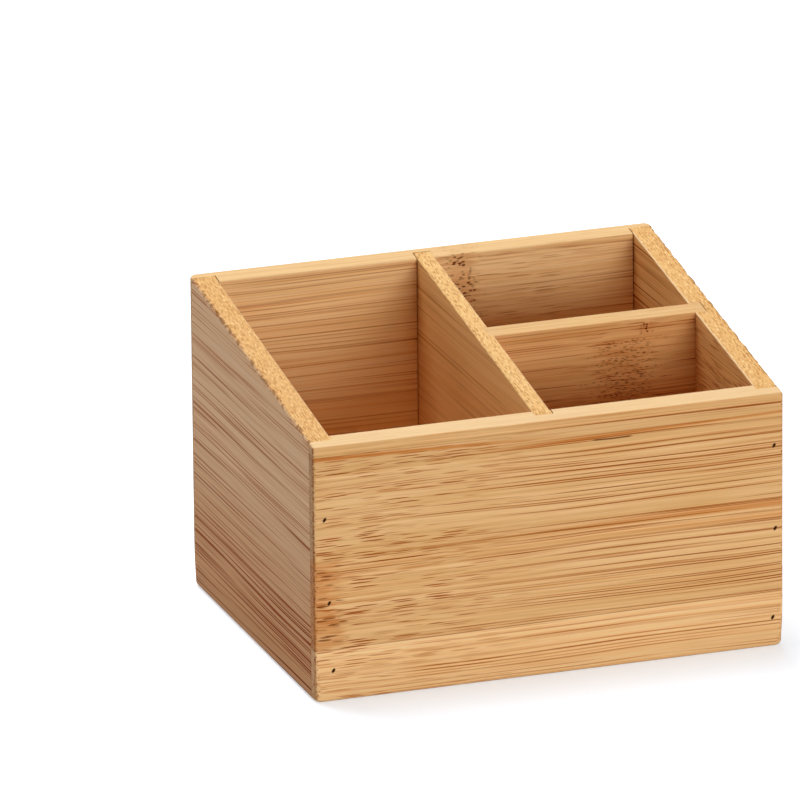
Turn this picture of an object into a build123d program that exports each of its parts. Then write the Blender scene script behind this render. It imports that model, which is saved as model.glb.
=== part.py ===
from build123d import *
import os

# A desk organiser of laminated bamboo: an open box with a sloping rim and three compartments.
# It stands on the XY plane, centred on the origin, and its low front faces -Y. Sizes are in mm.

# Overall size
width = 150.0
depth = 118.0
back_height = 100.0
front_height = 81.0

# Boards
side_thickness = 7.4
end_thickness = 7.0
long_divider_thickness = 5.6
cross_divider_thickness = 6.2
base_thickness = 4.0
base_lift = 4.0

# Centre planes of the two dividers
long_divider_x = -0.4
cross_divider_y = 0.5

# Joinery: how deep one board is let into the other, and the gap that a loose fit leaves
front_housing = 3.0
back_housing = 4.0
side_housing = 3.8
divider_housing = 1.5
groove_depth = 2.5
play = 0.3

# Rounding: the back corners are sanded rounder than the front ones, and all widen towards the foot
rim_radius = 0.9
inner_rim_radius = 0.5
foot_edge_radius = 1.5
front_corner_radius = 1.1
back_corner_radius = 2.2
foot_corner_swell = 1.9
foot_corner_height = 16.0

# Brads: flat wire with a chisel point, driven through the front and back into the side boards
brad_width = 1.2
brad_gauge = 0.6
brad_length = 20.0
brad_point = 1.5
brad_sink = 0.4

# Where each brad sits: inset from the end of the panel, height, and lean to the right in degrees
front_left_brads = [(3.4, 58.0, 25.0), (4.6, 31.5, 15.0), (5.7, 10.0, 35.0)]
front_right_brads = [(3.1, 64.5, 20.0), (2.7, 38.0, 25.0), (3.5, 9.5, 30.0)]
back_left_brads = [(3.6, 84.0, -20.0), (3.0, 47.0, 15.0), (4.2, 11.0, 30.0)]
back_right_brads = [(4.0, 82.0, 25.0), (3.4, 46.0, -10.0), (3.2, 12.0, 20.0)]

# Planes of the box that follow from the sizes above
half_width = width / 2
half_depth = depth / 2
rim_slope = (back_height - front_height) / depth
base_top = base_lift + base_thickness
inner_x = half_width - side_thickness
inner_y = half_depth - end_thickness
side_front = -half_depth + end_thickness - front_housing
side_back = half_depth - end_thickness + back_housing
divider_left = long_divider_x - long_divider_thickness / 2
divider_right = long_divider_x + long_divider_thickness / 2
cross_front = cross_divider_y - cross_divider_thickness / 2
cross_back = cross_divider_y + cross_divider_thickness / 2
over = 5.0
clear_top = back_height + over
tolerance = 0.01


def block(x_range, y_range, z_range):
    """A box between two values on each axis."""
    ranges = (x_range, y_range, z_range)
    size = [high - low for low, high in ranges]
    middle = [(low + high) / 2 for low, high in ranges]
    return Pos(*middle) * Box(*size)


def rim_height(y):
    """Height of the sloping rim at a given depth."""
    return front_height + (y + half_depth) * rim_slope


def on_rim(edge):
    """True for an edge that lies in the plane of the rim."""
    middle = edge.center()
    return abs(middle.Z - rim_height(middle.Y)) < tolerance


def inside_walls(edge):
    """True for an edge that borders a compartment."""
    middle = edge.center()
    return abs(middle.X) < inner_x + tolerance and abs(middle.Y) < inner_y + tolerance


def outline(z):
    """The rounded outline at a height, whose corners soften smoothly towards the foot."""
    rise = min(z / foot_corner_height, 1.0)
    swell = foot_corner_swell * (1 - rise) ** 2
    plan = Rectangle(width, depth)
    plan = fillet(plan.vertices().group_by(Axis.Y)[0], front_corner_radius + swell)
    plan = fillet(plan.vertices().group_by(Axis.Y)[-1], back_corner_radius + swell)
    return Pos(0, 0, z) * plan


def outer_form():
    """The outside of the closed box, with every outer edge rounded."""
    waist = outline(foot_corner_height)
    foot = loft([outline(0), outline(foot_corner_height / 2), waist])
    form = foot + extrude(waist, back_height - foot_corner_height + over)

    low = -half_depth - over
    high = half_depth + over
    profile = Polygon((low, 0), (high, 0), (high, rim_height(high)), (low, rim_height(low)), align=None)
    below_rim = extrude(Plane.YZ * profile, half_width + over, both=True)
    form = form & below_rim

    form = fillet(form.edges().filter_by(on_rim), rim_radius)
    return fillet(form.edges().group_by(Axis.Z)[0], foot_edge_radius)


def sanded_form():
    """The outside with the three compartments sunk into it and their upper edges eased."""
    tall = (base_top, clear_top)
    form = outer_form()
    form -= block((-inner_x, divider_left), (-inner_y, inner_y), tall)
    form -= block((divider_right, inner_x), (-inner_y, cross_front), tall)
    form -= block((divider_right, inner_x), (cross_back, inner_y), tall)
    edges = form.edges().filter_by(on_rim).filter_by(inside_walls)
    return fillet(edges, inner_rim_radius)


def end_panel(back):
    """The front or back panel: rabbets for the side boards, a dado and the groove for the base.

    The joints fit tighter at the front. The long divider stands a little askew, so that the play
    in its dados is on the right at the front and on the left at the back.
    """
    outward = 1 if back else -1
    housing = back_housing if back else front_housing
    outer = outward * half_depth
    inner = outward * inner_y
    seat = inner + outward * housing
    panel = block((-half_width, half_width), sorted((outer, inner)), (0, clear_top))
    rabbet = side_thickness + (play if back else 0)
    for left in (-half_width, half_width - rabbet):
        panel -= block((left, left + rabbet), sorted((inner, seat)), (0, clear_top))
    dado = (divider_left - play, divider_right) if back else (divider_left, divider_right + play)
    panel -= block(dado, sorted((inner, seat)), (base_top, clear_top))
    groove_end = inner + outward * groove_depth
    panel -= block((-half_width, half_width), sorted((inner, groove_end)), (base_lift, base_top))
    return panel


def side_panel(right):
    """A side board, which stands in the rabbets of the front and back panels."""
    outward = 1 if right else -1
    outer = outward * half_width
    inner = outward * inner_x
    panel = block(sorted((outer, inner)), (side_front, side_back), (0, clear_top))
    groove_end = inner + outward * groove_depth
    panel -= block(sorted((inner, groove_end)), (side_front, side_back), (base_lift, base_top))
    if right:
        dado = (inner_x, inner_x + side_housing)
        panel -= block(dado, (cross_front, cross_back), (base_top, clear_top))
    return panel


def long_divider():
    """The divider from front to back, with a shallow dado for the cross divider."""
    divider = block((divider_left, divider_right), (side_front, side_back - play), (base_top, clear_top))
    dado = (divider_right - divider_housing, divider_right)
    return divider - block(dado, (cross_front, cross_back), (base_top, clear_top))


def cross_divider():
    """The short divider across the right half."""
    ends = (divider_right - divider_housing, inner_x + side_housing - play)
    return block(ends, (cross_front, cross_back), (base_top, clear_top))


def base_panel():
    """The thin floor, loose in the grooves of the four outer boards."""
    reach = groove_depth - play
    return block(
        (-inner_x - reach, inner_x + reach),
        (-inner_y - reach, inner_y + reach),
        (base_lift, base_top),
    )


def brad(right, back, inset, height, lean):
    """A brad and the hole above its sunk head, as a pair of solids."""
    side = 1 if right else -1
    outward = 1 if back else -1
    head = brad_sink
    tip = brad_sink + brad_length
    half_gauge = brad_gauge / 2
    outline = Polygon(
        (head, -half_gauge),
        (tip - brad_point, -half_gauge),
        (tip, 0),
        (tip - brad_point, half_gauge),
        (head, half_gauge),
        align=None,
    )
    wire = extrude(outline, brad_width / 2, both=True)
    hole = block((-over, head), (-half_gauge, half_gauge), (-brad_width / 2, brad_width / 2))
    turned = Rot(0, lean, 0) * Rot(0, 0, -90 * outward)
    place = Pos(side * (half_width - inset), outward * half_depth, height)
    return place * turned * wire, place * turned * hole


def all_brads():
    """Every brad with its hole, by node name."""
    columns = {
        "front_left": (False, False, front_left_brads),
        "front_right": (True, False, front_right_brads),
        "back_left": (False, True, back_left_brads),
        "back_right": (True, True, back_right_brads),
    }
    brads = {}
    for column, (right, back, places) in columns.items():
        for level, (inset, height, lean) in zip(("upper", "middle", "lower"), places):
            brads[f"brad_{column}_{level}"] = brad(right, back, inset, height, lean)
    return brads


def all_boards():
    """Every board, cut from the one sanded form, by node name."""
    boards = {
        "front_panel": end_panel(back=False),
        "back_panel": end_panel(back=True),
        "left_side_panel": side_panel(right=False),
        "right_side_panel": side_panel(right=True),
        "long_divider": long_divider(),
        "cross_divider": cross_divider(),
    }
    form = sanded_form()
    boards = {name: board & form for name, board in boards.items()}
    boards["base_panel"] = base_panel()
    return boards


def nailed(name, board, brads):
    """The board with the holes of the brads that pass through it."""
    for brad_name, (wire, hole) in brads.items():
        end, side = brad_name.split("_")[1:3]
        if name in (f"{end}_panel", f"{side}_side_panel"):
            board = board - wire - hole
    return board


os.makedirs("parts", exist_ok=True)
brads = all_brads()
for name, board in all_boards().items():
    export_step(nailed(name, board, brads), f"parts/{name}.step")
for name, (wire, hole) in brads.items():
    export_step(wire, f"parts/{name}.step")
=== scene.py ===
import math
from typing import NamedTuple

import bmesh
import bpy
from mathutils import Matrix, Vector, noise


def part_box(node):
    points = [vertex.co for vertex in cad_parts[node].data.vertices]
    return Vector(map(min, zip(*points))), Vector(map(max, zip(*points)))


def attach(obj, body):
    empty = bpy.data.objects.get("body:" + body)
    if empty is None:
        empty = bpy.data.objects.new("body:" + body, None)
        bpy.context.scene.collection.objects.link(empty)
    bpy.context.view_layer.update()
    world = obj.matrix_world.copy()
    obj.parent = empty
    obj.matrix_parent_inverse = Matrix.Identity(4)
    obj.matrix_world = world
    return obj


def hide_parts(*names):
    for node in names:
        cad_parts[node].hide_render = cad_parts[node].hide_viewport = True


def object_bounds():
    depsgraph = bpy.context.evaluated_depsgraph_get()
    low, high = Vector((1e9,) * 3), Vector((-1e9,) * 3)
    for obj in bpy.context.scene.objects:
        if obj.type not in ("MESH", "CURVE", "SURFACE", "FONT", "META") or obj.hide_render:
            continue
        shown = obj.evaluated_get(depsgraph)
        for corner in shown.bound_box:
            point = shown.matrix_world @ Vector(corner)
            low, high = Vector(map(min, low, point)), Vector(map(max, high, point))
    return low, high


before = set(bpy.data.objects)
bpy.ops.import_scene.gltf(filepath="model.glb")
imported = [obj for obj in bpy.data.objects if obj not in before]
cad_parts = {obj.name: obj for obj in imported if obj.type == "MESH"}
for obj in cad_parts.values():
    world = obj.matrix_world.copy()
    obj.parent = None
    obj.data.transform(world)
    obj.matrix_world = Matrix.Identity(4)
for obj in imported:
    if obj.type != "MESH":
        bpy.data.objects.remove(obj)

cad_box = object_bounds()

MM = 0.001
X, Y, Z = 0, 1, 2

# ---------------------------------------------------------------- the sloping rim, in millimetres
DEPTH = 118
BACK_HEIGHT = 100
FRONT_HEIGHT = 81
FRONT_FACE = -DEPTH / 2
RIM_RISE = (BACK_HEIGHT - FRONT_HEIGHT) / DEPTH

# ---------------------------------------------------------------- view and light
# Angles are degrees: azimuth turns from the front of the box towards its right-hand side.
# Distances are metres.
VIEW_AZIMUTH = -18.948
VIEW_ELEVATION = 18.509
VIEW_ROLL = -0.538
VIEW_DISTANCE = 3.8063
VIEW_TARGET = Vector((0, 0, 0.045))
VIEW_RIGHT = 0.025892
VIEW_UP = -0.022698
LENS_PER_SENSOR_WIDTH = 15.5987
SENSOR_WIDTH = 36
FAR_CLIP = 4 * VIEW_DISTANCE

FLOOR_SIZE = 16
FLOOR_DROP = 0.1 * MM
FLOOR_PAINT = (0.68, 0.74, 0.83, 1)
FLOOR_ROUGHNESS = 0.9
FLOOR_GLOW = 0.55
FLOOR_GLOW_COLOUR = (0.98, 0.99, 1.0, 1)

ROOM_FILL = 0.08
ROOM_FILL_COLOUR = (1.0, 0.98, 0.95, 1)
BACKDROP = (1, 1, 1, 1)


class Lamp(NamedTuple):
    """A square softbox that points at the box: where it stands, its size, power and colour."""
    name: str
    azimuth: float
    elevation: float
    distance: float
    size: float
    power: float
    colour: tuple


LAMPS = (
    Lamp("key", azimuth=12, elevation=8, distance=2.0, size=0.8, power=22, colour=(1.0, 0.96, 0.90)),
    Lamp("overhead", azimuth=197, elevation=74, distance=2.2, size=1.2, power=43, colour=(0.95, 0.98, 1.0)),
    Lamp("fill", azimuth=-95, elevation=10, distance=2.2, size=0.7, power=3.8, colour=(0.80, 0.84, 1.0)),
    Lamp("right", azimuth=105, elevation=8, distance=2.2, size=0.7, power=3.5, colour=(1.0, 0.97, 0.93)),
    Lamp("back", azimuth=200, elevation=20, distance=2.4, size=1.2, power=14, colour=(1.0, 0.99, 0.98)),
)


def rim_depth(y, z):
    """How far a point is below the sloping rim, in millimetres."""
    level = math.hypot(1, RIM_RISE)
    return (y * RIM_RISE - z + (FRONT_HEIGHT - FRONT_FACE * RIM_RISE)) * (1 / level)


def srgb(red, green, blue):
    """A display colour, each part from 0 to 255, as the linear colour that a shader takes."""
    parts = [part / 255 for part in (red, green, blue)]
    return tuple([p / 12.92 if p <= 0.04045 else ((p + 0.055) / 1.055) ** 2.4 for p in parts] + [1.0])


# ---------------------------------------------------------------- shader arithmetic
class Value:
    """A number that varies over a surface. Arithmetic on it adds the nodes that work it out."""

    def __init__(self, shade, socket):
        self.shade = shade
        self.socket = socket

    def __add__(self, other):
        return self.shade.math("ADD", self, other)

    def __radd__(self, other):
        return self.shade.math("ADD", other, self)

    def __sub__(self, other):
        return self.shade.math("SUBTRACT", self, other)

    def __rsub__(self, other):
        return self.shade.math("SUBTRACT", other, self)

    def __mul__(self, other):
        return self.shade.math("MULTIPLY", self, other)

    def __rmul__(self, other):
        return self.shade.math("MULTIPLY", other, self)

    def __abs__(self):
        return self.shade.math("ABSOLUTE", self)

    def above(self, other):
        """1 where this is more than other, and 0 elsewhere."""
        return self.shade.math("GREATER_THAN", self, other)

    def most(self, other):
        """The larger of the two."""
        return self.shade.math("MAXIMUM", self, other)

    def ease(self, start, end):
        """0 before start and 1 after end, with a smooth step between. start may be the larger."""
        made = self.shade.add("ShaderNodeMapRange", interpolation_type="SMOOTHSTEP")
        for socket, value in zip(made.inputs, (self, start, end, 0.0, 1.0)):
            self.shade.put(socket, value)
        return Value(self.shade, made.outputs[0])


class Pattern(NamedTuple):
    """Smooth noise: the size of its features in millimetres on each axis, the shift that sets it
    apart from the other patterns, its finer layers, and the two values between which it is
    stretched from 0 to 1, where it is."""
    size: tuple
    shift: float = 0.0
    detail: float = 1.0
    stretch: tuple = ()


class Marks(NamedTuple):
    """Scattered marks, each in a cell of its own: the size of the cells in millimetres on each
    axis, their shift, and the distances from a cell's middle where its mark starts and where it is
    full. Each cell has a random number from 0 to 1, and picked holds the numbers at which marks
    start to show and are full. Without it a mark is as strong as its number."""
    size: tuple
    shift: float
    outline: tuple
    picked: tuple = ()


class Shade:
    """One material's nodes, with a short call for each kind that the materials here use."""

    def __init__(self, name):
        self.material = bpy.data.materials.new(name)
        self.material.use_nodes = True
        self.tree = self.material.node_tree
        self.surface = self.tree.nodes["Principled BSDF"]

    def add(self, kind, **settings):
        made = self.tree.nodes.new(kind)
        for key, value in settings.items():
            setattr(made, key, value)
        return made

    def put(self, socket, value):
        if isinstance(value, Value):
            value = value.socket
        if isinstance(value, bpy.types.NodeSocket):
            self.tree.links.new(value, socket)
        else:
            socket.default_value = value

    def math(self, operation, *values):
        made = self.add("ShaderNodeMath", operation=operation)
        for socket, value in zip(made.inputs, values):
            self.put(socket, value)
        return Value(self, made.outputs[0])

    def split(self, vector):
        made = self.add("ShaderNodeSeparateXYZ")
        self.put(made.inputs[0], vector)
        return [Value(self, socket) for socket in made.outputs]

    def position(self):
        """The three coordinates of the surface point in the row frame, in millimetres."""
        coordinates = self.add("ShaderNodeTexCoord")
        return [axis * (1 / MM) for axis in self.split(coordinates.outputs["Object"])]

    def facing(self):
        """How far the surface faces along each axis, from 0 to 1."""
        geometry = self.add("ShaderNodeNewGeometry")
        return [abs(axis) for axis in self.split(geometry.outputs["True Normal"])]

    def scaled(self, point, size, shift):
        """The point as a vector, in units of size along each axis, moved by shift units."""
        made = self.add("ShaderNodeCombineXYZ")
        for socket, axis, unit in zip(made.inputs, point, size):
            self.put(socket, axis * (1 / unit) + shift)
        return made.outputs[0]

    def noise(self, point, pattern, seed=0.0):
        """A pattern's value at the point, from about 0 to 1."""
        made = self.add("ShaderNodeTexNoise")
        self.put(made.inputs["Vector"], self.scaled(point, pattern.size, seed + pattern.shift))
        self.put(made.inputs["Scale"], 1.0)
        self.put(made.inputs["Detail"], pattern.detail)
        value = Value(self, made.outputs["Fac"])
        return value.ease(*pattern.stretch) if pattern.stretch else value

    def marks(self, point, kind, seed=0.0):
        """How strong the marks of that kind are at the point, from 0 to 1."""
        made = self.add("ShaderNodeTexVoronoi")
        self.put(made.inputs["Vector"], self.scaled(point, kind.size, seed + kind.shift))
        self.put(made.inputs["Scale"], 1.0)
        number = self.split(made.outputs["Color"])[0]
        strength = number.ease(*kind.picked) if kind.picked else number
        return Value(self, made.outputs["Distance"]).ease(*kind.outline) * strength

    def mix(self, amount, first, second, blend="MIX"):
        """first, turning to second as amount goes from 0 to 1."""
        made = self.add("ShaderNodeMix", data_type="RGBA", blend_type=blend)
        self.put(made.inputs["Factor"], amount)
        colours = [socket for socket in made.inputs if socket.type == "RGBA"]
        self.put(colours[0], first)
        self.put(colours[1], second)
        return [socket for socket in made.outputs if socket.type == "RGBA"][0]

    def finish(self, colour, roughness, height, depth):
        """Joins the surface's colour, roughness and bump, whose full height is depth in metres."""
        bump = self.add("ShaderNodeBump")
        self.put(bump.inputs["Height"], height)
        self.put(bump.inputs["Distance"], depth)
        self.put(self.surface.inputs["Base Color"], colour)
        self.put(self.surface.inputs["Roughness"], roughness)
        self.put(self.surface.inputs["Normal"], bump.outputs["Normal"])
        return self.material


# ---------------------------------------------------------------- bamboo: colours
TAN = srgb(224, 182, 124)
PALE = srgb(238, 201, 148)
LIGHT_TAN = srgb(238, 200, 142)
LIGHT_PALE = srgb(246, 215, 165)
# a lighter, warmer copy of the tan and pale for boards seen in shade: painted bounce light
BOUNCE_LIT_TAN = srgb(240, 190, 120)
BOUNCE_LIT_PALE = srgb(247, 204, 139)
# a cooler, greyer copy of the tan and pale for the board on the shaded left: painted shade
SHADED_TAN = srgb(218, 176, 132)
SHADED_PALE = srgb(230, 194, 152)
ORANGE = srgb(214, 142, 72)
LINE = srgb(172, 84, 0)
DEEP_LINE = srgb(140, 60, 0)
# the warm brown that darkens the fibres and the brown strips, and also paints shade
FIBRE_AND_SHADE_BROWN = (0.82, 0.63, 0.44, 1)
EDGE_PALE = srgb(249, 225, 183)
END_GOLD = srgb(237, 192, 129)
END_BROWN = srgb(158, 108, 66)
END_DASH = srgb(176, 106, 38)
END_WALL = srgb(252, 219, 160)
# the dark of torn fibres, and painted shade along the torn outer arris
TORN_AND_SHADE = srgb(136, 80, 34)
KNUCKLE_TINT = srgb(194, 113, 44)
KNUCKLE_DASH = srgb(104, 42, 0)
# painted shade round the sunk holes of the brads
BRAD_SHADE = srgb(62, 26, 4)
GLUE = srgb(140, 80, 34)

# ---------------------------------------------------------------- bamboo: patterns
# Sizes are along the grain, across the strips and through the board.
WANDER = Pattern((90, 18, 9))
RIPPLE = Pattern((14, 5, 5), 3)
SINK = Pattern((70, 9, 9), 7)
TONE = Pattern((160, 1.1, 1.1), 11, detail=2.0)
PATCH = Pattern((45, 10, 10), 13)
FLUSH = Pattern((150, 0.9, 0.9), 17, detail=2.0, stretch=(0.54, 0.74))
FIBRE = Pattern((16, 0.24, 0.24), 19)
FADE = Pattern((60, 3, 3), 31, stretch=(0.34, 0.60))
BROKEN = Pattern((60, 9, 9), 41)
PATCHY = Pattern((26, 5, 5), 43, stretch=(0.30, 0.50))
TORN_FIBRES = Pattern((2.2, 2.2, 2.2), 59, stretch=(0.45, 0.60))
FRAYED = Pattern((8, 1.2, 8), 67, stretch=(0.42, 0.56))
KNUCKLE_EDGE = Pattern((9, 1.1, 9))

LONG_LINES = Marks((420, 0.62, 0.62), 23, outline=(0.44, 0.26), picked=(-0.2, 0.6))
LONG_HALOES = LONG_LINES._replace(outline=(0.75, 0.35), picked=(0.3, 0.9))
SHORT_LINES = Marks((12, 0.54, 0.54), 27, outline=(0.47, 0.27), picked=(-0.3, 0.6))
HAIR_LINES = Marks((150, 0.58, 0.58), 29, outline=(0.42, 0.26), picked=(-0.3, 0.7))
END_WALLS = Marks((2.2, 2.2, 0.50), 47, outline=(0.46, 0.32))
END_PORES = Marks((2.8, 2.8, 0.62), 53, outline=(0.44, 0.30), picked=(-0.5, 0.6))
END_VESSELS = Marks((3.0, 1.0, 0.55), 61, outline=(0.50, 0.34))
# How uneven the edge of a knuckle is, as a share of half its width; the inner share of its reach
# where it is full; and half the height over which it fades at the edges of its strip
KNUCKLE_SWAY = 2.2
KNUCKLE_CORE = 0.3
KNUCKLE_FADE = 0.4
DASH_SHIFT = 37
DASH_OUTLINE = (0.46, 0.28)
DASH_PICKING = 0.2

# How far the pattern moves on from one strip to the next, along the grain and through the board
STRIP_STEP_ALONG = 57
STRIP_STEP_THROUGH = 31

# How squarely a surface faces up or down to count as a cut edge, and along the grain as an end
EDGE_FACING = (0.6, 0.95)
END_FACING = (0.6, 0.9)

# The noise above which lines break up away from a knuckle, and how far a restless board lowers it
BROKEN_START = 0.72
BROKEN_FULL = 0.80
RESTLESS_STEP = 0.3

# How far the grain bends in millimetres: slowly everywhere, and quickly where it is broken or knotted
WANDER_BEND = 2.4
BROKEN_BEND = 0.35
KNOT_BEND = 1.6
SINK_DEPTH = 0.5
BROKEN_SINK_DEPTH = 0.9

# The parts that bands and patches have in the ground's tone, and how far it spreads round a half
BANDS_PART = 0.7
PATCHES_PART = 0.3
TONE_SPREAD = 0.16

# How strong the faintest lines are, how much more the short ones gain where lines are strong, how
# much of the long ones and hairs goes where the grain is broken, and which lines are deep
FAINTEST = 0.40
SHORT_FAINTEST = 0.4
SHORT_FADING = 0.55
LONG_LOSS = 0.75
HAIR_LOSS = 0.4
DEEP_LINES = (0.5, 0.95)

# Outlines in millimetres: where a feature starts and where it is full
GLUE_OUTLINE = (0.20, 0.06)
CRACK_OUTLINE = (0.36, 0.14)
CRACK_TAPER = 2
CRACK_SWAY = 0.6
STAIN_CORE = 0.3
STAIN_BEND = 0.5
FRAYED_DEPTH = (1.6, 0.4)
CROWDED_DEPTH = (5.0, 1.0)
INNER_ARRIS_DEPTH = (3.0, 4.0)
# the painted highlight on the inner arris: how deep it lies and how far the surface there has turned
TORN_DISTANCE_SQUARED = (1.6, 0.1)
ROUND_FROM_SIDE = (0.25, 0.5)
ROUND_FROM_TOP = (0.99, 0.92)
PORES_INSIDE = 0.65

# The painted shade round a brad's sunk hole is a leaning oval: how far its long axis stands up
# and leans, how tightly it is curved across and along that axis, and where it starts and is full
BRAD_SHADE_UPRIGHT = 0.8
BRAD_SHADE_LEAN = 0.5
BRAD_SHADE_NARROW = 3.8
BRAD_SHADE_TALL = 1.3
BRAD_SHADE_OUTLINE = (1.0, 0.5)

# How much of a feature is lost on the cut edges
LINE_EDGE_LOSS = 0.65
DEEP_LINE_EDGE_LOSS = 0.6
DASH_EDGE_LOSS = 0.85
TINT_EDGE_LOSS = 0.7

# How strongly each feature shows, from 0 to 1
PALE_STRIP_SHARE = 0.8
DEEP_LINE_SHARE = 0.7
FLUSH_SHARE = 0.4
HALO_SHARE = 0.4
FIBRE_SHARE = 0.9
HAIR_SHARE = 0.75
END_SHARE = 0.55
VESSEL_SHARE = 0.75
WALL_SHARE = 0.7
PORE_SHARE = 0.65
# the painted highlight along the inner arris
ARRIS_HIGHLIGHT_SHARE = 0.5
CRACK_SHARE = 0.9
BRAD_SHADE_SHARE = 0.9

# How dark a brown strip is for its tone, and how light the whole board and a pale strip are
BROWN_STRIP_GAIN = 1.85
LIGHTENING = 1.12
STRIP_LIGHTENING = 0.5

# The lacquer, and the relief of the grain under it as parts of its full height in metres
SPECULAR_LEVEL = 0.07
LACQUER_ROUGHNESS = 0.46
FIBRE_ROUGHNESS = 0.10
LINE_ROUGHNESS = 0.14
RELIEF = 0.014 * MM
LINE_GROOVE = 0.6
SEAM_GROOVE = 0.5
FIBRE_RISE = 0.35


class Strip(NamedTuple):
    """One strip of a board, from the lowest up: where its upper edge is in the middle of the board,
    that edge's slope, how dark the glue line there is, how much lighter the strip is, and how far
    its lines are missing."""
    top: float
    slope: float = 0.0
    glue: float = 0.12
    tone: float = 0.0
    plain: float = 0.0


class Knuckle(NamedTuple):
    """A node of the culm, where the bundles knot together: its middle along the strip and half its
    width there, the part of the board's height that it takes, the length and thickness of its dark
    dashes, how crowded they are, their strength, how much it browns the wood, and how far before
    and after it the long lines are broken into short ones. With 0 before it none are."""
    middle: float
    half: float
    lowest: float
    highest: float
    dash: tuple = (1.6, 0.6)
    crowd: float = 0.5
    strength: float = 0.8
    tint: float = 0.35
    before: float = 60
    after: float = 60


class Stain(NamedTuple):
    """An orange streak along the grain: its height in the middle of the board, its slope, half its
    thickness, the two ends of its fade along the board, and its strength."""
    place: float
    slope: float
    half: float
    start: float
    end: float
    strength: float


class Crack(NamedTuple):
    """A fine open split along the grain, from start to end, at one height."""
    start: float
    end: float
    place: float


class Look(NamedTuple):
    """What sets one board apart from another:
    base, the wood's two ground colours;
    rim, the colour of the cut upper and lower edges, and rim_share, how far they have it;
    contrast, which scales the lines;
    calm, which under 1 evens out the wider changes of colour;
    restless, which under 0 keeps the lines from breaking up away from a knuckle;
    painted_shade, painted shade: how much darker the faces are drawn where shade falls;
    painted_foot_shade, painted shade that browns the faces towards the foot: the height where it
    starts, the lower one where it is full, and how much;
    torn_edge_and_shade, how dark the torn fibres of the outer upper arris are drawn, partly as
    painted shade along it."""
    base: tuple = (TAN, PALE)
    rim: tuple = EDGE_PALE
    rim_share: float = 0.5
    contrast: float = 1.0
    calm: float = 1.0
    restless: float = 0.0
    painted_shade: float = 0.0
    painted_foot_shade: tuple = ()
    torn_edge_and_shade: float = 0.75


def strips_of(length, width, strips):
    """The number of the strip that a point is in, its tone, how plain it is, and how strongly a
    glue line shows."""
    number = 0.0
    tone = 0.0
    plain = 0.0
    seam = 0.0
    above_last = 1.0
    for strip in strips:
        offset = width - (strip.top + strip.slope * length)
        above = offset.above(0.0)
        number = above + number
        inside = above_last - above
        tone = inside * strip.tone + tone
        plain = inside * strip.plain + plain
        seam = (abs(offset).ease(*GLUE_OUTLINE) * strip.glue).most(seam)
        above_last = above
    return number, tone, plain, seam


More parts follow.
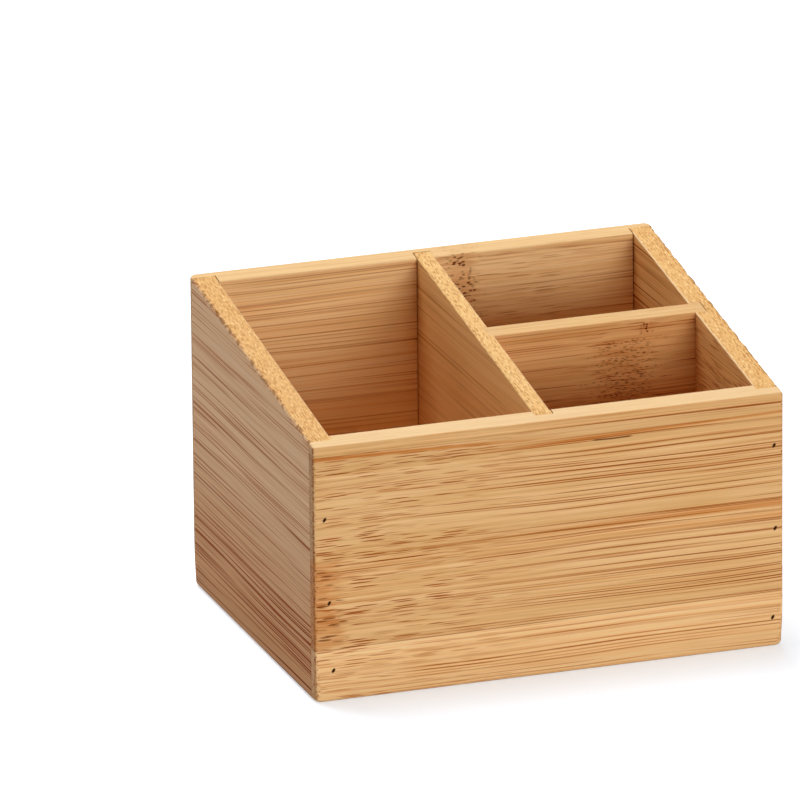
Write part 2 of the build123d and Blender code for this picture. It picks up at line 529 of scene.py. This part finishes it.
class Bamboo(Shade):
    """The lacquered laminated bamboo of one board. Its strips run along one axis and are glued edge
    to edge across another. skin is (axis, place, sign): the face nearest the culm's skin, and the
    way inwards. Each draw call adds a feature to colour, and to lines where it is also a groove."""

    def __init__(self, name, along, across, skin, seed, look, strips, knuckles):
        super().__init__(name)
        skin_axis, skin_place, inwards = skin
        self.point = self.position()
        facing = self.facing()
        self.seed = seed
        self.look = look
        self.length = self.point[along]
        self.width = self.point[across]
        self.depth = (self.point[skin_axis] - skin_place) * inwards
        self.facing_across = facing[across]
        self.edge = facing[across].ease(*EDGE_FACING)
        self.end = facing[along].ease(*END_FACING)
        number, self.strip_tone, self.plain, self.seam = strips_of(self.length, self.width, strips)
        self.place = (self.length + number * STRIP_STEP_ALONG, self.width,
                      self.depth + number * STRIP_STEP_THROUGH)
        self.knuckles = [(knuckle, self.reach(knuckle)) for knuckle in knuckles]
        self.bend_grain()
        self.colour = self.ground()
        self.lines = self.fibre_lines()

    def reach(self, knuckle):
        """1 in the middle of a knuckle and 0 outside it, with an uneven edge."""
        point = (self.length, self.width, self.depth)
        sway = (self.noise(point, KNUCKLE_EDGE, self.seed) - 0.5) * (knuckle.half * KNUCKLE_SWAY)
        reach = abs(self.length - knuckle.middle + sway).ease(knuckle.half, knuckle.half * KNUCKLE_CORE)
        low = self.width.ease(knuckle.lowest - KNUCKLE_FADE, knuckle.lowest + KNUCKLE_FADE)
        high = self.width.ease(knuckle.highest + KNUCKLE_FADE, knuckle.highest - KNUCKLE_FADE)
        return reach * low * high

    def bend_grain(self):
        """Finds where the lines are broken up, and bends the grain: slowly everywhere, and quickly
        in a knuckle."""
        knot = 0.0
        near = 0.0
        for knuckle, reach in self.knuckles:
            knot = reach.most(knot)
            if knuckle.before:
                offset = self.length - knuckle.middle
                before = offset.ease(-knuckle.before, -knuckle.before * KNUCKLE_CORE)
                after = offset.ease(knuckle.after, knuckle.after * KNUCKLE_CORE)
                near = (before * after).most(near)
        start = BROKEN_START - RESTLESS_STEP * self.look.restless
        full = BROKEN_FULL - RESTLESS_STEP * self.look.restless
        anywhere = self.noise(self.place, BROKEN, self.seed).ease(start, full)
        self.broken = anywhere.most(near * self.noise(self.place, PATCHY, self.seed))

        length, width, depth = self.place
        wander = self.noise(self.place, WANDER, self.seed) - 0.5
        sink = self.noise(self.place, SINK, self.seed) - 0.5
        self.ripple = self.noise(self.place, RIPPLE, self.seed) - 0.5
        quick_bend = self.broken * BROKEN_BEND + knot * KNOT_BEND
        self.bend = wander * WANDER_BEND + self.ripple * quick_bend
        sunk = sink * (SINK_DEPTH + self.broken * BROKEN_SINK_DEPTH)
        self.grain = (length, width + self.bend, depth + sunk)

    def ground(self):
        """The wood between the lines: long bands of tone, wide patches and an orange flush."""
        look = self.look
        bands = self.noise(self.grain, TONE, self.seed) * BANDS_PART
        patches = self.noise(self.place, PATCH, self.seed) * PATCHES_PART
        tone = bands + patches
        spread = TONE_SPREAD / look.calm
        colour = self.mix(tone.ease(0.5 - spread, 0.5 + spread), *look.base)
        colour = self.mix(self.strip_tone.most(0.0) * PALE_STRIP_SHARE, colour, EDGE_PALE)
        flush = self.noise(self.grain, FLUSH, self.seed)
        colour = self.mix(flush * FLUSH_SHARE * look.calm, colour, ORANGE)
        halo = self.marks(self.grain, LONG_HALOES, self.seed) * (1.0 - self.broken)
        return self.mix(halo * HALO_SHARE * look.calm, colour, ORANGE)

    def fibre_lines(self):
        """The dark bundles: long lines and hairs, and short lines where the grain is broken."""
        fade = FAINTEST + (1.0 - FAINTEST) * self.noise(self.place, FADE, self.seed)
        long_lines = self.marks(self.grain, LONG_LINES, self.seed) * fade
        long_lines = long_lines * (1.0 - self.broken * LONG_LOSS)
        short_lines = self.marks(self.grain, SHORT_LINES, self.seed) * self.broken
        short_lines = short_lines * (SHORT_FAINTEST + fade * SHORT_FADING)
        hair = self.marks(self.grain, HAIR_LINES, self.seed) * HAIR_SHARE * (1.0 - self.broken * HAIR_LOSS)
        return long_lines.most(short_lines).most(hair) * (1.0 - self.plain)

    def blend(self, amount, colour, how="MIX"):
        self.colour = self.mix(amount, self.colour, colour, how)

    def draw_stain(self, stain):
        offset = self.width + self.bend * STAIN_BEND - (stain.place + stain.slope * self.length)
        streak = abs(offset).ease(stain.half, STAIN_CORE * stain.half)
        self.blend(streak * self.length.ease(stain.start, stain.end) * stain.strength, ORANGE)

    def draw_lines(self):
        """The pale cut edges, the fine fibres and the dark lines, which are weaker on the edges."""
        contrast = self.look.contrast
        self.fibre = self.noise(self.grain, FIBRE, self.seed)
        self.blend(self.edge * self.look.rim_share, self.look.rim)
        self.blend((1.0 - self.fibre) * FIBRE_SHARE * contrast, FIBRE_AND_SHADE_BROWN, "MULTIPLY")
        self.blend(self.lines * (1.0 - self.edge * LINE_EDGE_LOSS) * contrast, LINE)
        deepest = self.lines.ease(*DEEP_LINES)
        self.blend(deepest * (DEEP_LINE_SHARE - self.edge * DEEP_LINE_EDGE_LOSS) * contrast, DEEP_LINE)

    def draw_ends(self):
        """End grain: brown, with the vessels as dark dots and frayed fibres next to the skin."""
        vessels = self.marks(self.place, END_VESSELS, self.seed)
        frayed = self.noise(self.place, FRAYED, self.seed) * self.depth.ease(*FRAYED_DEPTH)
        self.blend(self.end * END_SHARE, END_BROWN)
        self.blend(vessels.most(frayed) * self.end * VESSEL_SHARE, DEEP_LINE)

    def draw_rough_rim(self):
        """The sawn rim of a sloping board: pores and pale cell walls, a painted highlight on the
        sanded round arris, and the other, next to the skin, torn and darkened, partly as painted shade."""
        crowded = PORES_INSIDE + (1.0 - PORES_INSIDE) * self.depth.ease(*CROWDED_DEPTH)
        pores = self.marks(self.place, END_PORES, self.seed) * crowded * self.edge
        walls = self.marks(self.place, END_WALLS, self.seed) * self.edge
        self.blend(walls * WALL_SHARE, END_WALL)
        self.blend(pores * PORE_SHARE, END_DASH)
        down = rim_depth(self.point[Y], self.point[Z])
        at_arris = (down * down + self.depth * self.depth).ease(*TORN_DISTANCE_SQUARED)
        torn = at_arris * self.noise(self.place, TORN_FIBRES, self.seed)
        # painted highlight: a pale line along the sanded round inner arris
        turning = self.facing_across.ease(*ROUND_FROM_SIDE) * self.facing_across.ease(*ROUND_FROM_TOP)
        arris_highlight = turning * self.depth.ease(*INNER_ARRIS_DEPTH)
        self.blend(arris_highlight * (1.0 - torn) * ARRIS_HIGHLIGHT_SHARE, EDGE_PALE)
        # the torn outer arris drawn dark: torn fibres, and partly painted shade along it
        self.blend(torn * self.look.torn_edge_and_shade, TORN_AND_SHADE)
        self.lines = self.lines.most(torn)

    def draw_knuckle(self, knuckle, reach):
        long, thick = knuckle.dash
        rare = 1.0 - knuckle.crowd
        picked = (rare - DASH_PICKING, rare + DASH_PICKING)
        dashes = Marks((long, thick, thick), DASH_SHIFT, DASH_OUTLINE, picked)
        dash = self.marks(self.grain, dashes, self.seed) * reach * (1.0 - self.edge * DASH_EDGE_LOSS)
        self.blend(reach * (knuckle.tint - self.edge * knuckle.tint * TINT_EDGE_LOSS), KNUCKLE_TINT)
        self.blend(dash * knuckle.strength, KNUCKLE_DASH)
        self.lines = self.lines.most(dash)

    def draw_crack(self, crack):
        opening = self.length.ease(crack.start, crack.start + CRACK_TAPER)
        closing = self.length.ease(crack.end, crack.end - CRACK_TAPER)
        offset = self.width - crack.place + self.ripple * CRACK_SWAY
        split = opening * closing * abs(offset).ease(*CRACK_OUTLINE)
        self.blend(split * CRACK_SHARE, KNUCKLE_DASH)
        self.lines = self.lines.most(split)

    def draw_brad_shade(self, along, across):
        """Painted shade: a dark leaning oval round the head of a brad, where its sunk hole is in shade."""
        aside = self.length - along
        above = self.width - across
        narrow = aside * BRAD_SHADE_UPRIGHT - above * BRAD_SHADE_LEAN
        tall = aside * BRAD_SHADE_LEAN + above * BRAD_SHADE_UPRIGHT
        brad_shade = (narrow * narrow * BRAD_SHADE_NARROW + tall * tall * BRAD_SHADE_TALL).ease(*BRAD_SHADE_OUTLINE)
        self.blend(brad_shade * BRAD_SHADE_SHARE, BRAD_SHADE)
        self.lines = self.lines.most(brad_shade)

    def lacquer(self):
        """Darkens the brown strips, paints shade on the faces, and joins the colour and the relief."""
        # the brown strips, and painted shade on the faces and towards the foot
        brown = (self.strip_tone * -BROWN_STRIP_GAIN).most(0.0) + self.look.painted_shade
        # painted shade towards the foot of the board
        if self.look.painted_foot_shade:
            start, full, strength = self.look.painted_foot_shade
            brown = brown + self.width.ease(start, full) * strength
        self.blend((1.0 - self.edge) * brown, FIBRE_AND_SHADE_BROWN, "MULTIPLY")
        lighter = self.add("ShaderNodeHueSaturation")
        self.put(lighter.inputs["Value"], LIGHTENING + self.strip_tone * STRIP_LIGHTENING)
        self.put(lighter.inputs["Color"], self.colour)
        self.put(self.surface.inputs["Specular IOR Level"], SPECULAR_LEVEL)
        height = 1.0 - self.lines * LINE_GROOVE - self.seam * SEAM_GROOVE + self.fibre * FIBRE_RISE
        roughness = LACQUER_ROUGHNESS + self.fibre * FIBRE_ROUGHNESS + self.lines * LINE_ROUGHNESS
        return self.finish(lighter.outputs[0], roughness, height, RELIEF)


def bamboo(name, along, across, skin, seed, strips, look=Look(), knuckles=(), stains=(), cracks=(),
           brad_shades=(), rough_rim=False):
    """A board's material. The features that come later lie over the earlier ones."""
    wood = Bamboo(name, along, across, skin, seed, look, strips, knuckles)
    for stain in stains:
        wood.draw_stain(stain)
    wood.draw_lines()
    wood.draw_ends()
    wood.blend(wood.seam, GLUE)
    if rough_rim:
        wood.draw_rough_rim()
    for knuckle, reach in wood.knuckles:
        wood.draw_knuckle(knuckle, reach)
    for crack in cracks:
        wood.draw_crack(crack)
    # painted shade round each brad's hole
    for along_grain, across_grain in brad_shades:
        wood.draw_brad_shade(along_grain, across_grain)
    return wood.lacquer()


# ---------------------------------------------------------------- brads
BRAD_BROWN = srgb(84, 38, 8)
BRAD_TARNISH = srgb(46, 18, 2)
BRAD_METALLIC = 0.1
BRAD_ROUGHNESS = 0.55
DRAWN_ROUGHNESS = 0.2
TARNISH_ROUGHNESS = 0.2
TARNISH_SHARE = 0.7
BRAD_SPECULAR_LEVEL = 0.04
BRAD_RELIEF = 0.01 * MM
DRAWN = Pattern((0.12, 4, 0.12), 3.0)
TARNISH = Pattern((0.7, 0.7, 0.7), 5.0, detail=2.0, stretch=(0.4, 0.65))


def brad_steel():
    """Dark bare wire: drawn lines along the shank, dull and a little tarnished."""
    shade = Shade("brad_steel")
    position = shade.position()
    drawn = shade.noise(position, DRAWN)
    tarnish = shade.noise(position, TARNISH)
    colour = shade.mix(tarnish * TARNISH_SHARE, BRAD_BROWN, BRAD_TARNISH)
    roughness = BRAD_ROUGHNESS + drawn * DRAWN_ROUGHNESS + tarnish * TARNISH_ROUGHNESS
    shade.put(shade.surface.inputs["Metallic"], BRAD_METALLIC)
    shade.put(shade.surface.inputs["Specular IOR Level"], BRAD_SPECULAR_LEVEL)
    return shade.finish(colour, roughness, drawn, BRAD_RELIEF)


# ---------------------------------------------------------------- worn boards
# The grid that a board is cut into, in millimetres: along it, down it, and away from its arrises
GRID_ALONG = 0.8
GRID_DOWN = 9.0
ARRIS_STEPS = (0.25, 0.5, 0.9, 1.3, 1.8, 2.6)
# Points nearer than this in millimetres count as one: in the CAD mesh, at a cut, and after all cuts
SAME_POINT = 0.001
ON_PLANE = 0.005
SLIVER = 0.01
# Faces that turn by less are joined into one, and edges that turn by more are creased
FLAT_DEGREES = 0.2
SHARP_DEGREES = 35
# How far from an arris the wear reaches in millimetres, how fast it fades on the way, and how far
# it goes down for each part that it goes inwards
WEAR_REACH = 2.2
WEAR_FADE = 0.7
WEAR_DOWN = 0.6
# The lengths in millimetres of long and short torn places, how deep each goes, and the mean depth
LONG_TEAR = 4.2
SHORT_TEAR = 1.4
LONG_TEAR_DEPTH = 0.75
SHORT_TEAR_DEPTH = 0.55
MEAN_TEAR_DEPTH = 0.30


class Arris(NamedTuple):
    """An upper edge of a board: its place in X in metres, which way is inwards, and its deepest
    wear."""
    place: float
    inwards: int
    deepest: float


def slice_mesh(board, point, normal):
    """Cuts every face of a bmesh where it crosses a plane, and keeps both sides."""
    everything = board.verts[:] + board.edges[:] + board.faces[:]
    bmesh.ops.bisect_plane(board, geom=everything, dist=ON_PLANE * MM, plane_co=point, plane_no=normal)


def steps(low, high, spacing):
    """Evenly spaced places strictly between two values."""
    count = max(1, round((high - low) / spacing))
    return [low + (high - low) * i / count for i in range(1, count)]


def fringe(distance, seed):
    """How deeply torn fibres have worn an arris, from 0 to 1, at a distance along it in millimetres."""
    long_tear = noise.noise(Vector((distance / LONG_TEAR, seed, 0)))
    short_tear = noise.noise(Vector((distance / SHORT_TEAR, seed, 5)))
    depth = MEAN_TEAR_DEPTH + LONG_TEAR_DEPTH * long_tear + SHORT_TEAR_DEPTH * short_tear
    return min(1.0, max(0.0, depth))


def refine(board, low, high, rim_point, rim_normal, arrises):
    """Slices a board into a grid that is fine along its length and at the worn arrises."""
    for y in steps(low.y, high.y, GRID_ALONG * MM):
        slice_mesh(board, Vector((0, y, 0)), Vector((0, 1, 0)))
    for down in ARRIS_STEPS:
        slice_mesh(board, rim_point - rim_normal * down * MM, rim_normal)
    for arris in arrises:
        for aside in ARRIS_STEPS:
            place = arris.place + arris.inwards * aside * MM
            slice_mesh(board, Vector((place, 0, 0)), Vector((1, 0, 0)))
    for z in steps(low.z, high.z, GRID_DOWN * MM):
        slice_mesh(board, Vector((0, 0, z)), Vector((0, 0, 1)))
    bmesh.ops.remove_doubles(board, verts=board.verts, dist=SLIVER * MM)


def wear(board, rim_point, rim_normal, arrises, seed):
    """Pushes the vertices near the arrises inwards and down, as far as the fibres there are torn."""
    for vertex in board.verts:
        down = (rim_point - vertex.co).dot(rim_normal) / MM
        for number, arris in enumerate(arrises):
            aside = abs(vertex.co.x - arris.place) / MM
            near = 1 - math.hypot(down, aside) / WEAR_REACH
            if near > 0:
                torn = fringe(vertex.co.y / MM, seed + 10 * number) * arris.deepest * MM
                way = Vector((arris.inwards, 0, 0)) - rim_normal * WEAR_DOWN
                vertex.co += way * torn * near ** WEAR_FADE


def worn_board(name, node, material, arrises, seed):
    """A finer copy of a sloping CAD board, in its place, with the fibres of some upper arrises torn
    a little in sanding."""
    low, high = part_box(node)
    rim_point = Vector((0, FRONT_FACE, FRONT_HEIGHT)) * MM
    rim_normal = Vector((0, -RIM_RISE, 1)).normalized()
    board = bmesh.new()
    board.from_mesh(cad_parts[node].data)
    bmesh.ops.remove_doubles(board, verts=board.verts, dist=SAME_POINT * MM)
    flat = math.radians(FLAT_DEGREES)
    bmesh.ops.dissolve_limit(board, angle_limit=flat, verts=board.verts, edges=board.edges)
    refine(board, low, high, rim_point, rim_normal, arrises)
    wear(board, rim_point, rim_normal, arrises, seed)
    bmesh.ops.recalc_face_normals(board, faces=board.faces)

    mesh = bpy.data.meshes.new(name)
    board.to_mesh(mesh)
    board.free()
    mesh.shade_smooth()
    mesh.set_sharp_from_angle(angle=math.radians(SHARP_DEGREES))
    mesh.materials.append(material)
    piece = bpy.data.objects.new(name, mesh)
    bpy.context.scene.collection.objects.link(piece)
    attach(piece, "root")
    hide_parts(node)


# ---------------------------------------------------------------- finishing each piece
def paint(node, material):
    """Gives a CAD node's object that one material."""
    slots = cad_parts[node].material_slots
    if not slots:
        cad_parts[node].data.materials.append(material)
    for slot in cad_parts[node].material_slots:
        slot.material = material


def skin(axis, place, inwards):
    """The face of a board nearest the culm's skin: its axis, its place there, given in metres and
    turned into millimetres, and the way inwards."""
    return axis, place / MM, inwards


def brads_through(side):
    """Where the brads of the front or the back panel go in, in millimetres across and up."""
    places = []
    for node in sorted(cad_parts):
        if node.startswith("brad_" + side):
            low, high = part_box(node)
            places.append(((low.x + high.x) / 2 / MM, (low.z + high.z) / 2 / MM))
    return places


def finish_front():
    """Long lines to the right, and to the left a knuckle that breaks them up. Its pale lowest strip
    is nearly plain, and orange stains run along the joints above it."""
    paint("front_panel", bamboo(
        "front_bamboo", X, Z, skin(Y, cad_box[0].y, 1), seed=1.0,
        look=Look(rim_share=0.7),
        strips=(
            Strip(top=17.2, slope=0.0087, glue=0.6, tone=0.40, plain=0.25),
            Strip(top=45.0, slope=0.004, glue=0.12, tone=0.07),
            Strip(top=73.6, slope=0.02),
            Strip(top=78.4, tone=-0.09),
            Strip(top=90, tone=0.03, plain=0.7)),
        stains=(
            Stain(place=75.6, slope=-0.021, half=0.8, start=15, end=-35, strength=0.9),
            Stain(place=73.6, slope=0.02, half=0.7, start=-40, end=10, strength=0.8),
            Stain(place=45.9, slope=0.004, half=1.5, start=-50, end=60, strength=0.65),
            Stain(place=42.0, slope=0.006, half=0.6, start=-20, end=60, strength=0.6)),
        knuckles=(
            Knuckle(middle=-74, half=9, lowest=17, highest=45, dash=(6.0, 0.8), crowd=0.78,
                    strength=0.78, tint=0.46, before=60, after=90),),
        cracks=(Crack(start=13, end=27, place=73.0),),
        # painted shade round each brad's hole
        brad_shades=brads_through("front")))


def finish_back():
    paint("back_panel", bamboo(
        "back_bamboo", X, Z, skin(Y, cad_box[1].y, -1), seed=40.0,
        look=Look(base=(LIGHT_TAN, LIGHT_PALE), rim=PALE, rim_share=0.8, contrast=0.5, calm=0.8,
                  restless=-0.4),
        strips=(
            Strip(top=15, slope=0.003, glue=0.4),
            Strip(top=43, slope=-0.003),
            Strip(top=71, slope=0.002, glue=0.06)),
        knuckles=(
            Knuckle(middle=11, half=7, lowest=71, highest=100, dash=(1.7, 0.8), crowd=0.7,
                    strength=0.95, tint=0.3, before=12, after=70),
            Knuckle(middle=-38, half=6, lowest=15, highest=43, before=0))))


def finish_left_side():
    left_face = cad_box[0].x
    left = bamboo(
        "left_bamboo", Y, Z, skin(X, left_face, 1), seed=80.0, rough_rim=True,
        # painted shade: a cooler, greyer ground for the side in shade
        look=Look(base=(SHADED_TAN, SHADED_PALE), rim=END_GOLD, rim_share=0.9, contrast=0.9, calm=0.3,
                  # painted shade: the faces browned towards the foot
                  painted_foot_shade=(60, 4, 0.75)),
        strips=(
            Strip(top=24, slope=0.004, glue=0.05, tone=-0.08, plain=-0.8),
            Strip(top=50, glue=0.08, tone=-0.05, plain=-0.2),
            Strip(top=78, glue=0.05)))
    worn_board("left_side_board", "left_side_panel", left,
               [Arris(left_face, 1, 0.6)], seed=3.0)


def finish_right_side():
    right_face = cad_box[1].x
    right = bamboo(
        "right_bamboo", Y, Z, skin(X, right_face, -1), seed=120.0, rough_rim=True,
        # painted bounce light: a lighter, warmer ground for faces seen in shade
        look=Look(base=(BOUNCE_LIT_TAN, BOUNCE_LIT_PALE), rim=END_GOLD, rim_share=0.9, contrast=0.8),
        strips=(
            Strip(top=19, glue=0.3),
            Strip(top=47, slope=0.003),
            Strip(top=75)),
        knuckles=(Knuckle(middle=-20, half=6, lowest=19, highest=47),))
    worn_board("right_side_board", "right_side_panel", right,
               [Arris(right_face, -1, 0.45)], seed=31.0)


def finish_long_divider():
    low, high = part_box("long_divider")
    divider = bamboo(
        "long_divider_bamboo", Y, Z, skin(X, low.x, 1), seed=160.0, rough_rim=True,
        # painted bounce light: a lighter, warmer ground for faces seen in shade
        look=Look(base=(BOUNCE_LIT_TAN, BOUNCE_LIT_PALE), rim=END_GOLD, rim_share=0.9, contrast=0.34, calm=0.6,
                  torn_edge_and_shade=0.15),
        strips=(
            Strip(top=30, glue=0.2),
            Strip(top=58, slope=0.002),
            Strip(top=86)))
    worn_board("long_divider_board", "long_divider", divider,
               [Arris(low.x, 1, 0.1), Arris(high.x, -1, 0.1)], seed=57.0)


def finish_cross_divider():
    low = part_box("cross_divider")[0]
    paint("cross_divider", bamboo(
        "cross_divider_bamboo", X, Z, skin(Y, low.y, 1), seed=200.0,
        # painted shade: this board's faces inside the compartments drawn darker
        look=Look(rim_share=0.15, contrast=0.7, calm=0.8, painted_shade=0.42),
        strips=(
            Strip(top=34, glue=0.2),
            Strip(top=62, slope=0.002)),
        knuckles=(
            Knuckle(middle=45, half=12, lowest=40, highest=84, dash=(1.7, 0.42), crowd=0.95,
                    strength=0.72, tint=0.2, before=30, after=25),
            Knuckle(middle=52, half=3, lowest=85, highest=88.5, dash=(1.0, 0.9), crowd=0.8,
                    strength=0.95, tint=0.2, before=10, after=10))))


def finish_base():
    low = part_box("base_panel")[0]
    paint("base_panel", bamboo(
        "base_bamboo", X, Y, skin(Z, low.z, 1), seed=240.0,
        # painted shade: the floor of the compartments drawn darker
        look=Look(contrast=0.6, calm=0.7, painted_shade=0.5),
        strips=(
            Strip(top=-28, glue=0.3),
            Strip(top=0, glue=0.3),
            Strip(top=28, glue=0.3))))


def finish_brads():
    steel = brad_steel()
    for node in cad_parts:
        if node.startswith("brad_"):
            paint(node, steel)


# ---------------------------------------------------------------- stage
def towards(azimuth, elevation):
    """The unit direction from the box to a place at those angles."""
    a = math.radians(azimuth)
    e = math.radians(elevation)
    return Vector((math.sin(a) * math.cos(e), -math.cos(a) * math.cos(e), math.sin(e)))


def make_camera():
    """A long lens, a little above the box and to its left, so that its edges stay near parallel."""
    back = towards(VIEW_AZIMUTH, VIEW_ELEVATION)
    level_right = (-back).cross(Vector((0, 0, 1))).normalized()
    level_up = level_right.cross(-back)
    roll = math.radians(VIEW_ROLL)
    right = level_right * math.cos(roll) + level_up * math.sin(roll)
    up = level_up * math.cos(roll) - level_right * math.sin(roll)
    place = VIEW_TARGET + back * VIEW_DISTANCE - right * VIEW_RIGHT - up * VIEW_UP
    data = bpy.data.cameras.new("camera")
    data.sensor_width = SENSOR_WIDTH
    data.lens = SENSOR_WIDTH * LENS_PER_SENSOR_WIDTH
    data.clip_end = FAR_CLIP
    camera = bpy.data.objects.new("camera", data)
    turn = Matrix((right, up, back)).transposed().to_4x4()
    camera.matrix_world = Matrix.Translation(place) @ turn
    bpy.context.scene.collection.objects.link(camera)
    bpy.context.scene.camera = camera


def make_lamp(lamp):
    """A square area light that the camera doesn't see."""
    data = bpy.data.lights.new(lamp.name, "AREA")
    data.size = lamp.size
    data.energy = lamp.power
    data.color = lamp.colour
    light = bpy.data.objects.new(lamp.name, data)
    back = towards(lamp.azimuth, lamp.elevation)
    light.location = VIEW_TARGET + back * lamp.distance
    light.rotation_mode = "QUATERNION"
    light.rotation_quaternion = (-back).to_track_quat("-Z", "Y")
    light.visible_camera = False
    bpy.context.scene.collection.objects.link(light)


def make_floor():
    """A plain white table. Its glow shows to the camera alone, so that the box is lit by the lamps."""
    half = FLOOR_SIZE / 2
    mesh = bpy.data.meshes.new("floor")
    corners = [(-half, -half, -FLOOR_DROP), (half, -half, -FLOOR_DROP),
               (half, half, -FLOOR_DROP), (-half, half, -FLOOR_DROP)]
    mesh.from_pydata(corners, [], [(0, 1, 2, 3)])
    floor = bpy.data.objects.new("floor", mesh)
    bpy.context.scene.collection.objects.link(floor)
    shade = Shade("floor_white")
    path = shade.add("ShaderNodeLightPath")
    glow = Value(shade, path.outputs["Is Camera Ray"]) * FLOOR_GLOW
    shade.put(shade.surface.inputs["Base Color"], FLOOR_PAINT)
    shade.put(shade.surface.inputs["Roughness"], FLOOR_ROUGHNESS)
    shade.put(shade.surface.inputs["Emission Color"], FLOOR_GLOW_COLOUR)
    shade.put(shade.surface.inputs["Emission Strength"], glow)
    mesh.materials.append(shade.material)


def make_world():
    """White to look at, and a dim fill as light."""
    world = bpy.data.worlds.new("studio")
    world.use_nodes = True
    tree = world.node_tree
    tree.nodes.clear()
    fill = tree.nodes.new("ShaderNodeBackground")
    fill.inputs["Color"].default_value = ROOM_FILL_COLOUR
    fill.inputs["Strength"].default_value = ROOM_FILL
    seen = tree.nodes.new("ShaderNodeBackground")
    seen.inputs["Color"].default_value = BACKDROP
    seen.inputs["Strength"].default_value = 1.0
    path = tree.nodes.new("ShaderNodeLightPath")
    choice = tree.nodes.new("ShaderNodeMixShader")
    output = tree.nodes.new("ShaderNodeOutputWorld")
    tree.links.new(path.outputs["Is Camera Ray"], choice.inputs[0])
    tree.links.new(fill.outputs[0], choice.inputs[1])
    tree.links.new(seen.outputs[0], choice.inputs[2])
    tree.links.new(choice.outputs[0], output.inputs[0])
    bpy.context.scene.world = world


def make_studio():
    make_floor()
    make_world()
    for lamp in LAMPS:
        make_lamp(lamp)
    colours = bpy.context.scene.view_settings
    colours.view_transform = "Standard"
    colours.look = "None"


make_camera()
make_studio()
finish_front()
finish_back()
finish_left_side()
finish_right_side()
finish_long_divider()
finish_cross_divider()
finish_base()
finish_brads()
